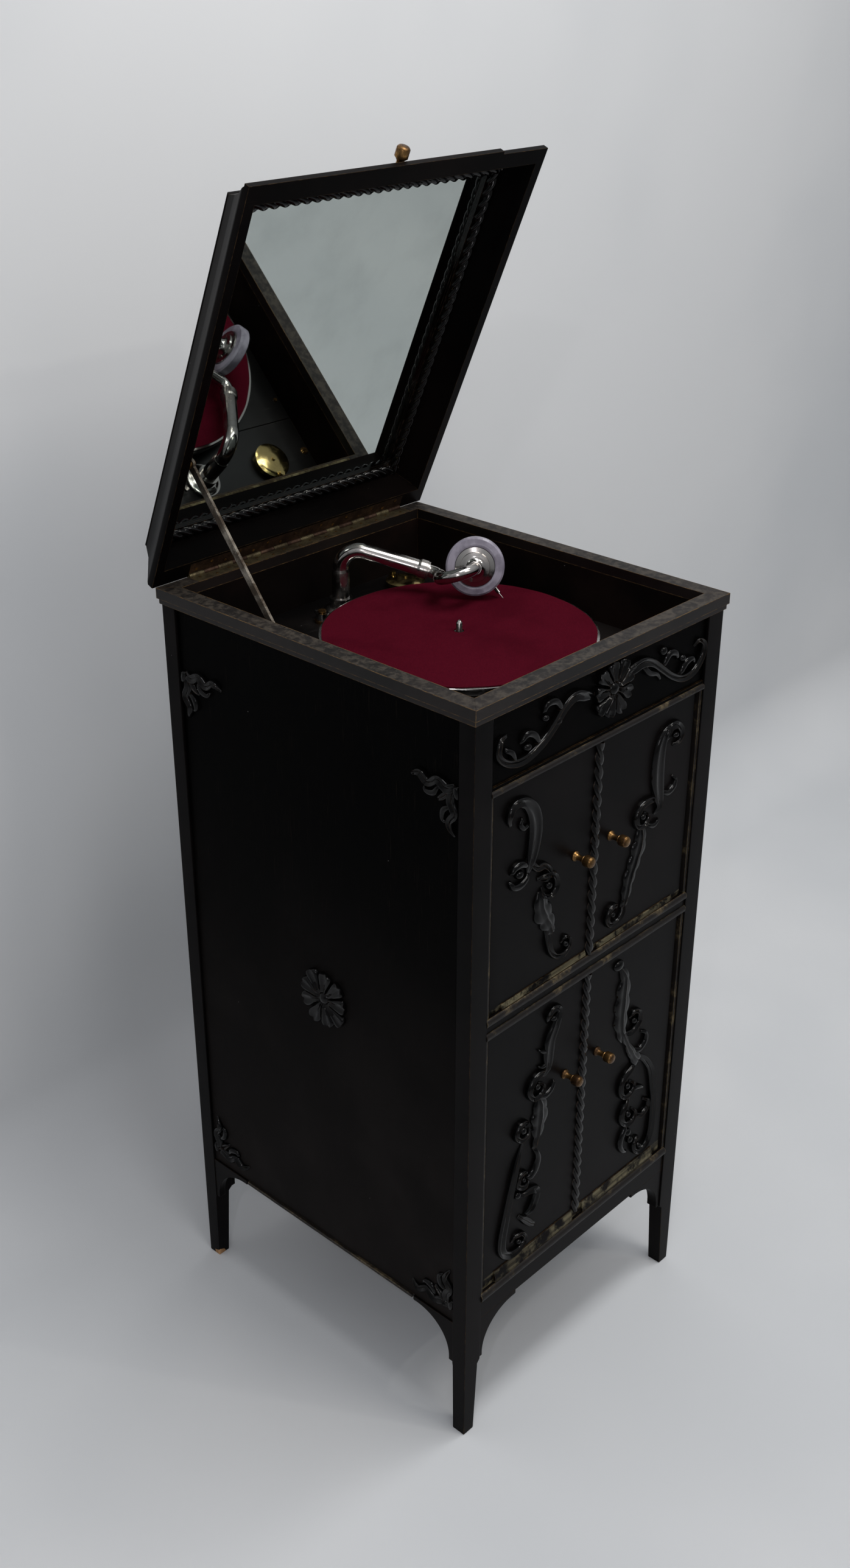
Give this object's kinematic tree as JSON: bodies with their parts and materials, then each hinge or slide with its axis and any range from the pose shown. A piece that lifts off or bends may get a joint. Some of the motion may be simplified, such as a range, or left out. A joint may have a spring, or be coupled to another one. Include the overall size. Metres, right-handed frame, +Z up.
{
  "type": "gramophone cabinet",
  "caption": "Floor-standing gramophone cabinet with a hinged mirrored lid, carved doors, legs, turntable, swinging tonearm and winding crank.",
  "frame": {"origin": "on the floor under the centre of the case", "axes": "+Z up, doors towards -Y, +X to the right when facing the doors"},
  "size_m": [0.499, 0.5092, 1.3814],
  "materials": {
    "ebonised_wood": "black ebonised semi-gloss lacquer, worn brown at the edges",
    "rim_wood": "black lacquer worn grey-brown along the rim",
    "side_wood": "black stained open-grained wood, thin semi-gloss finish",
    "worn_moulding": "lacquer rubbed through to brown wood along the crests",
    "inner_wood": "dark reddish brown stained wood, matt",
    "rope_wood": "carved dark lacquer with rubbed brown crests",
    "brass": "aged brass, softly polished",
    "hinge_brass": "tarnished yellow-green brass",
    "nickel": "nickel plate, bright with light wear",
    "steel": "plain steel, oiled",
    "mirror": "silvered glass with a narrow bevel",
    "felt": "crimson felt",
    "rubber": "lavender grey rubber",
    "grip": "dark turned wood, polished"
  },
  "bodies": {
    "case": {"post_front_left": "ebonised_wood", "post_front_right": "ebonised_wood", "post_back_left": "ebonised_wood", "post_back_right": "ebonised_wood", "side_panel_left": "side_wood", "side_panel_right": "side_wood", "back_panel": "side_wood", "apron": "ebonised_wood", "mid_rail": "ebonised_wood", "bottom_rail": "ebonised_wood", "mouldings": "worn_moulding", "brackets": "ebonised_wood", "top_rim": "rim_wood", "well_lining": "inner_wood", "motor_board": "inner_wood", "rear_board": "inner_wood", "inner_boards": "inner_wood", "sound_horn": "inner_wood", "case_carvings": "ebonised_wood", "door_pins": "brass", "hinge_leaf_case": "hinge_brass", "case_fittings": "brass", "motor_frame": "steel", "tonearm_base": "nickel", "needle_cup": "brass"},
    "lid": {"lid_frame": "ebonised_wood", "lid_top": "ebonised_wood", "mirror_glass": "mirror", "mirror_rope": "rope_wood", "lid_knob": "ebonised_wood", "lid_fittings": "brass", "hinge_leaf_lid": "hinge_brass"},
    "stay": {"lid_stay": "steel"},
    "upper_left_door": {"door_upper_left": "ebonised_wood", "carving_upper_left": "ebonised_wood", "rope_upper": "rope_wood", "knob_upper_left": "brass"},
    "upper_right_door": {"door_upper_right": "ebonised_wood", "carving_upper_right": "ebonised_wood", "knob_upper_right": "brass"},
    "lower_left_door": {"door_lower_left": "ebonised_wood", "carving_lower_left": "ebonised_wood", "rope_lower": "rope_wood", "knob_lower_left": "brass"},
    "lower_right_door": {"door_lower_right": "ebonised_wood", "carving_lower_right": "ebonised_wood", "knob_lower_right": "brass"},
    "turntable": {"spindle": "nickel", "platter": "nickel", "felt": "felt"},
    "barrel": {"spring_barrel": "steel"},
    "winding_crank": {"crank": "steel"},
    "winding_grip": {"crank_grip": "grip"},
    "brake": {"brake_lever": "nickel"},
    "arm": {"tonearm": "nickel"},
    "sound_head": {"gooseneck": "nickel", "soundbox": "nickel", "soundbox_rim": "rubber", "needle": "steel"},
    "cup_cover": {"cup_lid": "brass"}
  },
  "joints": [
    {"name": "lid_hinge", "type": "hinge", "parent": "case", "child": "lid", "pos_m": [0.006, 0.229, 0.9365], "axis": [1, 0, 0], "range_deg": [0, 66.4]},
    {"name": "stay_fold", "type": "hinge", "parent": "lid", "child": "stay", "pos_m": [-0.18, 0.18784, 1.07566], "axis": [1, 0, 0], "range_deg": [-118.1, 0]},
    {"name": "upper_left_door_hinge", "type": "hinge", "parent": "case", "child": "upper_left_door", "pos_m": [-0.163, -0.215, 0.7], "axis": [0, 0, -1], "range_deg": [0, 92]},
    {"name": "upper_right_door_hinge", "type": "hinge", "parent": "case", "child": "upper_right_door", "pos_m": [0.163, -0.215, 0.7], "axis": [0, 0, 1], "range_deg": [0, 92]},
    {"name": "lower_left_door_hinge", "type": "hinge", "parent": "case", "child": "lower_left_door", "pos_m": [-0.163, -0.215, 0.37], "axis": [0, 0, -1], "range_deg": [0, 92]},
    {"name": "lower_right_door_hinge", "type": "hinge", "parent": "case", "child": "lower_right_door", "pos_m": [0.163, -0.215, 0.37], "axis": [0, 0, 1], "range_deg": [0, 92]},
    {"name": "turntable_spin", "type": "hinge", "parent": "case", "child": "turntable", "pos_m": [0.007, -0.019, 0.88], "axis": [0, 0, -1], "continuous": true},
    {"name": "barrel_turn", "type": "hinge", "parent": "case", "child": "barrel", "pos_m": [0.091, -0.019, 0.81], "axis": [1, 0, 0], "continuous": true},
    {"name": "crank_turn", "type": "hinge", "parent": "case", "child": "winding_crank", "pos_m": [0.2, -0.019, 0.81], "axis": [1, 0, 0], "continuous": true},
    {"name": "grip_turn", "type": "hinge", "parent": "winding_crank", "child": "winding_grip", "pos_m": [0.25, -0.019, 0.73], "axis": [1, 0, 0], "continuous": true},
    {"name": "brake_swing", "type": "hinge", "parent": "case", "child": "brake", "pos_m": [-0.03, 0.156, 0.874], "axis": [0, 0, 1], "range_deg": [0, 25]},
    {"name": "arm_swing", "type": "hinge", "parent": "case", "child": "arm", "pos_m": [0.007, 0.163, 0.9], "axis": [0, 0, 1], "range_deg": [-24, 25]},
    {"name": "head_turn_up", "type": "hinge", "parent": "arm", "child": "sound_head", "pos_m": [0.06265, 0.091, 0.92181], "axis": [-0.5896, 0.7628, 0.2656], "range_deg": [0, 100]},
    {"name": "cup_cover_swing", "type": "hinge", "parent": "case", "child": "cup_cover", "pos_m": [0.115, 0.185, 0.876], "axis": [0, 0, 1], "range_deg": [0, 80]}
  ],
  "couplings": [
    {"joint": "stay_fold", "follows": "lid_hinge", "ratio": -1.7771},
    {"joint": "barrel_turn", "follows": "turntable_spin", "ratio": 0.05}
  ]
}
